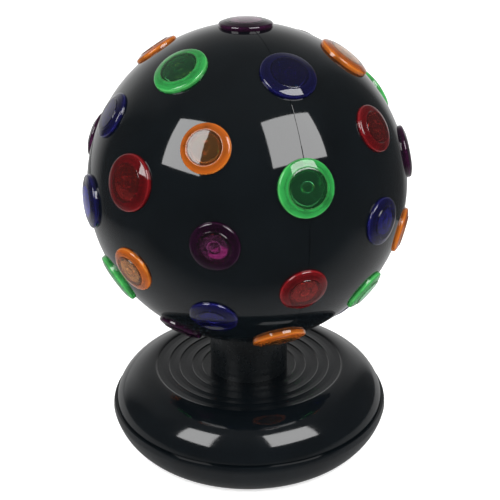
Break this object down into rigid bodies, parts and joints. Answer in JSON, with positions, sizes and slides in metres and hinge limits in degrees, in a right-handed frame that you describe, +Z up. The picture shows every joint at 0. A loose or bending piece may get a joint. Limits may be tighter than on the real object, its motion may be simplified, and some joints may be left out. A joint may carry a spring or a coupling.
{
  "type": "rotating disco ball light",
  "caption": "Table-top party light: a glossy black ball set with round tinted lenses turns on a short neck above a saucer-shaped base.",
  "frame": {"origin": "on the table surface under the middle of the base", "axes": "+Z up along the axis the ball turns on; -Y is the front, the side the picture shows; +Y is the side with the cord inlet"},
  "size_m": [0.2039, 0.2056, 0.2801],
  "materials": {
    "ball_black": "high gloss moulded black",
    "base_black": "high gloss moulded black",
    "lens_purple": "clear tinted, polished",
    "lens_green": "clear tinted, polished",
    "lens_orange": "clear tinted, polished",
    "lens_red": "clear tinted, polished",
    "lens_blue": "clear tinted, polished",
    "black_rubber": "soft matt",
    "screw_steel": "zinc plated",
    "plate_steel": "zinc plated sheet",
    "brass": "bright brass",
    "white_plastic": "moulded acetal",
    "hub_plastic": "moulded black",
    "holder_plastic": "moulded heat-resisting resin",
    "coil_wrap": "taped winding",
    "cap_metal": "bright",
    "clear_glass": "clear",
    "filament_metal": "drawn wire",
    "lead_sheath": "soft sheath",
    "switch_plastic": "moulded black"
  },
  "bodies": {
    "stand": {"base_cover": "base_black", "base_tray": "base_black", "bearing_bush": "brass", "bridge_plate": "plate_steel", "bridge_screws": "screw_steel", "cord_grommet": "black_rubber", "lamp_cap": "cap_metal", "lamp_envelope": "clear_glass", "lamp_filament": "filament_metal", "lamp_holder_body": "holder_plastic", "lamp_holder_contact": "brass", "lamp_holder_screw_shell": "brass", "lamp_leads": "lead_sheath", "lamp_mount": "clear_glass", "lamp_stem": "plate_steel", "motor_can": "plate_steel", "motor_coil": "coil_wrap", "motor_gearbox_lid": "plate_steel", "motor_leads": "lead_sheath", "motor_screws": "screw_steel", "motor_shaft_bush": "brass", "neck_column": "base_black", "neck_screws": "screw_steel", "rubber_feet": "black_rubber", "stem_nuts": "brass", "stem_washers": "plate_steel", "switch_housing": "switch_plastic", "switch_leads": "lead_sheath", "terminal_block": "white_plastic", "terminal_fixing_screws": "screw_steel", "terminal_screws": "brass", "thrust_washer": "white_plastic", "tray_screws": "screw_steel"},
    "ball": {"drive_hub": "hub_plastic", "ring_gear": "white_plastic", "hub_screws": "screw_steel", "ball_shell_left": "ball_black", "ball_shell_right": "ball_black", "shell_screws": "screw_steel", "lens_top": "lens_purple", "lenses_purple": "lens_purple", "lenses_green": "lens_green", "lenses_orange": "lens_orange", "lenses_red": "lens_red", "lenses_blue": "lens_blue"},
    "pinion": {"motor_shaft": "plate_steel", "drive_pinion": "white_plastic"},
    "switch": {"switch_rocker": "switch_plastic"}
  },
  "joints": [
    {"name": "ball_spin", "type": "hinge", "parent": "stand", "child": "ball", "pos_m": [0, 0, 0.0764], "axis": [0, 0, 1], "continuous": true},
    {"name": "pinion_spin", "type": "hinge", "parent": "stand", "child": "pinion", "pos_m": [-0.0132, 0, 0.0545], "axis": [0, 0, 1], "continuous": true},
    {"name": "switch_rock", "type": "hinge", "parent": "stand", "child": "switch", "pos_m": [0.0459, 0.0795, 0.0125], "axis": [0, 0, 1], "range_deg": [-16, 0]}
  ],
  "couplings": [
    {"joint": "pinion_spin", "follows": "ball_spin", "ratio": 3.75}
  ]
}
